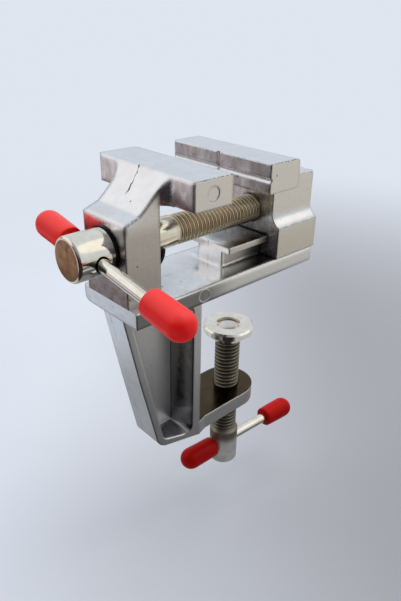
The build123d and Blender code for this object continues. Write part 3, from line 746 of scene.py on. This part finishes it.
def new_piece(name, bm, body, material, replaced, sharp=SHARP_ANGLE):
    """Turns a bmesh into a smooth-shaded piece that rides on a body and stands for a CAD node."""
    mesh = bpy.data.meshes.new(name)
    bm.normal_update()
    bm.to_mesh(mesh)
    bm.free()
    mesh.polygons.foreach_set("use_smooth", [True] * len(mesh.polygons))
    mesh.set_sharp_from_angle(angle=sharp)
    mesh.materials.append(material)
    piece = bpy.data.objects.new(name, mesh)
    bpy.context.scene.collection.objects.link(piece)
    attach(piece, body)
    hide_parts(replaced)
    return piece


def on_circle(i, sides, radius, along):
    """Point number i of a ring of points round the local Z axis."""
    return radius * cos(tau * i / sides), radius * sin(tau * i / sides), along


def add_lathe(bm, profile, sides):
    """Turns a list of (along, radius) points round the local Z axis. Points on the axis close it."""
    rings = []
    for along, radius in profile:
        count = sides if radius > 0 else 1
        rings.append([bm.verts.new(on_circle(i, sides, radius, along)) for i in range(count)])
    for ring, following in zip(rings, rings[1:]):
        for i in range(sides):
            quad = [ring[i % len(ring)], ring[(i + 1) % len(ring)],
                    following[(i + 1) % len(following)], following[i % len(following)]]
            corners = [vert for k, vert in enumerate(quad) if vert is not quad[k - 1]]
            bm.faces.new(corners)


def rounded_corner(profile, radius):
    """A profile's points with its second point replaced by an arc of the given radius."""
    before, corner, after = (Vector(point) for point in profile)
    back, ahead = (before - corner).normalized(), (after - corner).normalized()
    start, end = corner + back * radius, corner + ahead * radius
    middle = start + ahead * radius
    angles = [pi / 2 * k / CORNER_STEPS for k in range(CORNER_STEPS + 1)]
    return [tuple(middle + (start - middle) * cos(angle) + (end - middle) * sin(angle)) for angle in angles]


def add_thread(bm, start, end, crest):
    """A helical thread round local Z that runs out at its start and is chamfered at its end."""
    layer = bm.verts.layers.float["depth"]
    rows = ROWS_PER_TURN * (ceil((end - start) / THREAD_PITCH) + 2)
    grid = []
    for i in range(THREAD_SIDES):
        column = []
        for row in range(rows + 1):
            along = start + (row / ROWS_PER_TURN + i / THREAD_SIDES - 1) * THREAD_PITCH
            along = min(max(along, start), end)
            depth = (0.5 - 0.5 * cos(tau * row / ROWS_PER_TURN)) ** THREAD_CREST_POWER
            depth *= min(1, (along - start) / THREAD_PITCH)
            radius = min(crest - THREAD_DEPTH * depth, crest - THREAD_CHAMFER + end - along)
            vert = bm.verts.new(on_circle(i, THREAD_SIDES, radius, along))
            vert[layer] = depth
            column.append(vert)
        grid.append(column)
    for i in range(THREAD_SIDES):
        following, shift = (grid[i + 1], 0) if i + 1 < THREAD_SIDES else (grid[0], ROWS_PER_TURN)
        for row in range(rows - shift):
            near, far = grid[i][row:row + 2], following[row + shift:row + shift + 2]
            bm.faces.new((near[0], far[0], far[1], near[1]))
    bmesh.ops.remove_doubles(bm, verts=bm.verts, dist=SAME_POINT)


def drilled(bm, centre, direction, depth):
    """The bmesh with a round hole cut across it, and the hole's rims softened."""
    solid = bpy.data.meshes.new("solid")
    bm.to_mesh(solid)
    bm.free()
    body = bpy.data.objects.new("solid", solid)
    cut = bmesh.new()
    turn = Vector(direction).to_track_quat("Z", "Y").to_matrix().to_4x4()
    bmesh.ops.create_cone(cut, cap_ends=True, segments=BAR_HOLE_SIDES, radius1=BAR_HOLE_RADIUS,
                          radius2=BAR_HOLE_RADIUS, depth=depth, matrix=Matrix.Translation(centre) @ turn)
    drill_mesh = bpy.data.meshes.new("drill")
    cut.to_mesh(drill_mesh)
    cut.free()
    drill = bpy.data.objects.new("drill", drill_mesh)
    for item in (body, drill):
        bpy.context.scene.collection.objects.link(item)
    hole = body.modifiers.new("hole", "BOOLEAN")
    hole.object, hole.solver = drill, "EXACT"
    rims = body.modifiers.new("rims", "BEVEL")
    rims.width, rims.segments = BAR_HOLE_EDGE, BAR_HOLE_EDGE_STEPS
    rims.limit_method, rims.angle_limit = "ANGLE", SHARP_ANGLE
    result = bmesh.new()
    result.from_object(body, bpy.context.evaluated_depsgraph_get())
    for item in (body, drill):
        bpy.data.objects.remove(item)
    return result


def local_axis(origin, direction, around):
    """A matrix that takes local Z to a direction in the frame, and local X to around."""
    along, side = Vector(direction).normalized(), Vector(around).normalized()
    turn = Matrix((side, along.cross(side), along)).transposed()
    return Matrix.Translation(origin) @ turn.to_4x4()


def joint_axis(name):
    """The direction of a joint's axis in the frame."""
    joints = frame["record"]["behaviour"]["joints"]
    return Vector(next(joint["axis"] for joint in joints if joint["name"] == name)).normalized()


def threaded_bmesh():
    """An empty bmesh whose points can hold how deep in a thread they lie."""
    bm = bmesh.new()
    bm.verts.layers.float.new("depth")
    return bm


def make_main_screw():
    """The main screw: a drilled round head, a plain shank with the clip's groove, and the thread."""
    low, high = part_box("main_screw")
    clip_low, clip_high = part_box("retaining_clip")
    place = local_axis((0, low.y, (low.z + high.z) / 2), (0, 1, 0), (1, 0, 0))
    head_radius = (high.x - low.x) / 2
    length = high.y - low.y

    bm = bmesh.new()
    edge = rounded_corner([(0, 0), (0, head_radius), (MAIN_HEAD_LENGTH, head_radius)], MAIN_HEAD_EDGE)
    add_lathe(bm, [(0, 0), (0, head_radius / 2), *edge, (MAIN_HEAD_LENGTH / 2, head_radius),
                   (MAIN_HEAD_LENGTH - MAIN_HEAD_BACK_EDGE, head_radius),
                   (MAIN_HEAD_LENGTH, head_radius - MAIN_HEAD_BACK_EDGE), (MAIN_HEAD_LENGTH, 0)],
              MAIN_HEAD_SIDES)
    bar_direction = place.inverted().to_3x3() @ joint_axis("handle_slide")
    bm = drilled(bm, (0, 0, HANDLE_BAR_SET_IN), bar_direction, 4 * head_radius)
    bmesh.ops.transform(bm, matrix=place, verts=bm.verts)
    head = new_piece("main_screw_head", bm, "main_screw", NICKEL, "main_screw")
    head.data.materials.append(BROWNED)
    for face in head.data.polygons:
        if face.center.y < low.y + SAME_PLANE:
            face.material_index = 1

    bm = threaded_bmesh()
    groove_start = clip_low.y - low.y - GROOVE_PLAY
    groove_end = clip_high.y - low.y + GROOVE_PLAY
    groove_radius = MAIN_SHANK_RADIUS - GROOVE_DEPTH
    add_lathe(bm, [(MAIN_HEAD_LENGTH, MAIN_SHANK_RADIUS), (groove_start, MAIN_SHANK_RADIUS),
                   (groove_start, groove_radius), (groove_end, groove_radius),
                   (groove_end, MAIN_SHANK_RADIUS),
                   (MAIN_SHANK_LENGTH - MAIN_SHANK_CHAMFER, MAIN_SHANK_RADIUS),
                   (MAIN_SHANK_LENGTH, MAIN_THREAD_RADIUS)], THREAD_SIDES)
    add_lathe(bm, [(length, MAIN_THREAD_RADIUS - THREAD_CHAMFER), (length, 0)], THREAD_SIDES)
    add_thread(bm, MAIN_SHANK_LENGTH, length, MAIN_THREAD_RADIUS)
    bmesh.ops.transform(bm, matrix=place, verts=bm.verts)
    new_piece("main_screw_thread", bm, "main_screw", GOLDEN_NICKEL, "main_screw",
              sharp=THREAD_SHARP_ANGLE)


def make_clamp_screw():
    """The clamp screw: a drilled head under the arm, the thread, and the riveted neck in the pad."""
    low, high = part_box("clamp_screw")
    place = Matrix.Translation((0, 0, low.z))
    head_radius = (high.x - low.x) / 2
    length = high.z - low.z
    rivet_start = length - RIVET_THICKNESS
    neck_start = rivet_start - CLAMP_NECK_LENGTH

    head = bmesh.new()
    foot = rounded_corner([(0, 0), (0, head_radius), (CLAMP_HEAD_LENGTH, head_radius)], CLAMP_HEAD_EDGE)
    add_lathe(head, [(0, 0), *foot, (CLAMP_HEAD_LENGTH - CLAMP_HEAD_EDGE, head_radius),
                     (CLAMP_HEAD_LENGTH, CLAMP_THREAD_RADIUS), (CLAMP_HEAD_LENGTH, 0)], CLAMP_HEAD_SIDES)
    hole = (0, 0, CLAMP_HEAD_LENGTH - CLAMP_BAR_DROP)
    head = drilled(head, hole, joint_axis("clamp_handle_slide"), 4 * head_radius)

    neck = threaded_bmesh()
    dome = [(length - under, RIVET_RADIUS * share) for under, share in RIVET_DOME]
    add_lathe(neck, [(neck_start, CLAMP_THREAD_RADIUS - THREAD_CHAMFER), (neck_start, CLAMP_NECK_RADIUS),
                     (rivet_start, CLAMP_NECK_RADIUS), (rivet_start, RIVET_RADIUS), *dome, (length, 0)],
              THREAD_SIDES)
    thread = threaded_bmesh()
    add_thread(thread, CLAMP_HEAD_LENGTH, neck_start, CLAMP_THREAD_RADIUS)

    for name, bm, material, sharp in (
        ("clamp_screw_head", head, DULL_NICKEL, SHARP_ANGLE),
        ("clamp_screw_neck", neck, DULL_NICKEL, SHARP_ANGLE),
        ("clamp_screw_thread", thread, SHADED_NICKEL, THREAD_SHARP_ANGLE),
    ):
        bmesh.ops.transform(bm, matrix=place, verts=bm.verts)
        new_piece(name, bm, "clamp_screw", material, "clamp_screw", sharp=sharp)


def make_grip(name, bar, body, bar_length, grip_length, direction, material, seed):
    """A dipped grip: a rounded mouth round its bar, a faint taper and a round nose."""
    low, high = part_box(bar)
    mouth = (low + high) / 2 + direction * (bar_length / 2 + GRIP_END_WALL - grip_length)
    place = local_axis(mouth, direction, Vector((0, 0, 1)).cross(direction))
    nose_start = grip_length - GRIP_NOSE_RADIUS
    bore = [(GRIP_BORE_DEPTH, GRIP_BORE_RADIUS), (GRIP_FLARE_DEPTH, GRIP_BORE_RADIUS),
            (0, GRIP_FLARE_RADIUS)]
    lip = rounded_corner([(0, BAR_RADIUS), (0, GRIP_MOUTH_RADIUS), (nose_start, GRIP_MOUTH_RADIUS)],
                         GRIP_MOUTH_EDGE)
    taper = GRIP_NOSE_RADIUS - GRIP_MOUTH_RADIUS
    sleeve = [(nose_start * share, GRIP_MOUTH_RADIUS + taper * share ** GRIP_TAPER_POWER)
              for share in (k / GRIP_SLEEVE_STEPS for k in range(2, GRIP_SLEEVE_STEPS + 1))]
    nose = [(nose_start + GRIP_NOSE_RADIUS * sin(angle), GRIP_NOSE_RADIUS * cos(angle))
            for angle in (pi / 2 / GRIP_NOSE_STEPS * k for k in range(1, GRIP_NOSE_STEPS))]
    bm = bmesh.new()
    add_lathe(bm, [*bore, *lip, *sleeve, *nose, (grip_length, 0)], GRIP_SIDES)
    for vert in bm.verts:
        if vert.co.xy.length > GRIP_MOUTH_RADIUS / 2:
            wave = noise.noise(Vector((vert.co.x, vert.co.y, vert.co.z + seed)) * GRIP_WAVES_PER_METRE)
            vert.co.xy *= 1 + GRIP_WAVINESS * (wave - 0.5)
    bmesh.ops.transform(bm, matrix=place, verts=bm.verts)
    new_piece(name + "_vinyl", bm, body, material, name)


def make_grips():
    """The four grips, two on each bar."""
    handle, clamp = joint_axis("handle_slide"), joint_axis("clamp_handle_slide")
    upper = ("handle_bar", "handle", HANDLE_BAR_LENGTH, HANDLE_GRIP_LENGTH)
    lower = ("clamp_bar", "clamp_handle", CLAMP_BAR_LENGTH, CLAMP_GRIP_LENGTH)
    make_grip("handle_grip_left", *upper, -handle, VINYL, seed=1)
    make_grip("handle_grip_right", *upper, handle, VINYL, seed=2)
    make_grip("clamp_grip_front", *lower, -clamp, SHADED_VINYL, seed=3)
    make_grip("clamp_grip_rear", *lower, clamp, SHADED_VINYL, seed=4)


def mirrored_room(g, place, reach):
    """The patchy room that polished metal mirrors, drawn by where on the floor a ray would land."""
    away = g.most(g.minus(reach, MIRROR_SHIFT), 0.0)
    drawn = g.stretch(place, g.math("DIVIDE", away, reach))
    x, y = g.split(drawn)[:2]
    left = g.fade(away, LEFT_NEAR_TO_FAR, g.fade(away, *NEAR_LEFT), g.fade(away, *FAR_LEFT))
    far_right = g.fade(g.along(drawn, TO_BACK_RIGHT), *FAR_RIGHT)
    right = g.fade(x, RIGHT_NEAR_TO_FAR_X, g.fade(away, *NEAR_RIGHT), far_right)
    lit = g.fade(x, LEFT_TO_RIGHT_X, left, right)
    unlit = g.times(g.smooth(g.along(drawn, TO_FRONT_RIGHT), *UNLIT_START), g.fall(y, *UNLIT_BACK_Y))
    return g.mix(unlit, lit, UNLIT)


def floor_material():
    """A pale matt floor that fades into the backdrop. Polished metal sees the room in it."""
    material, g, shader = new_material("pale_floor")
    place = g.place()
    reach = g.length(place)
    cloudy = g.mix(g.spread(g.noise(place, 6.0)), *FLOOR_PALE)
    shaded = g.fade(g.along(place, FLOOR_SHADE_WAY), FLOOR_SHADE_REACH, cloudy, FLOOR_SHADE)
    g.feed(shader.inputs["Base Color"], shaded)
    shader.inputs["Roughness"].default_value = 0.9
    seen = g.mix_shaders(g.smooth(reach, *FLOOR_FADE), shader.outputs[0], g.glow(PALE))
    is_mirrored = g.add("ShaderNodeLightPath").outputs["Is Glossy Ray"]
    surface = g.mix_shaders(is_mirrored, seen, g.glow(mirrored_room(g, place, reach)))
    output = next(node for node in material.node_tree.nodes if node.type == "OUTPUT_MATERIAL")
    g.feed(output.inputs["Surface"], surface)
    return material


def make_floor():
    """A large plain floor under the object."""
    half = FLOOR_HALF_WIDTH
    corners = [(-half, -half, 0), (half, -half, 0), (half, half, 0), (-half, half, 0)]
    mesh = bpy.data.meshes.new("floor")
    mesh.from_pydata(corners, [], [(0, 1, 2, 3)])
    floor = bpy.data.objects.new("floor", mesh)
    floor.location = (0, 0, cad_box[0].z - FLOOR_DROP)
    bpy.context.scene.collection.objects.link(floor)
    floor.data.materials.append(floor_material())


def make_room():
    """A soft room with pale walls, a dark front and two bright windows, behind a plain backdrop."""
    world = bpy.data.worlds.new("studio")
    world.use_nodes = True
    bpy.context.scene.world = world
    g = Graph(world.node_tree)
    direction = g.add("ShaderNodeTexCoord").outputs["Generated"]
    y, z = g.split(direction)[1:]
    room = g.fade(y, (-0.35, 0.15), g.fade(z, *DARK_FRONT), g.fade(z, *WALL))
    for middle, rim, light in WINDOWS:
        room = g.fade(g.along(direction, Vector(middle).normalized()), rim, room, light)
    is_seen = g.add("ShaderNodeLightPath").outputs["Is Camera Ray"]
    background = world.node_tree.nodes["Background"]
    g.feed(background.inputs["Color"], g.mix(is_seen, room, PALE))


def make_lamps():
    """Three large soft lamps, which polished metal doesn't mirror."""
    for name, place, width, power in LAMPS:
        data = bpy.data.lights.new(name, "AREA")
        data.size = width
        data.energy = power
        lamp = bpy.data.objects.new(name, data)
        lamp.location = place
        lamp.visible_glossy = False
        lamp.rotation_euler = Vector(place).to_track_quat("Z", "Y").to_euler()
        bpy.context.scene.collection.objects.link(lamp)


make_camera()
make_floor()
make_room()
make_lamps()
finish_nodes()
make_main_screw()
make_clamp_screw()
make_grips()
bpy.context.scene.view_settings.view_transform = "Standard"
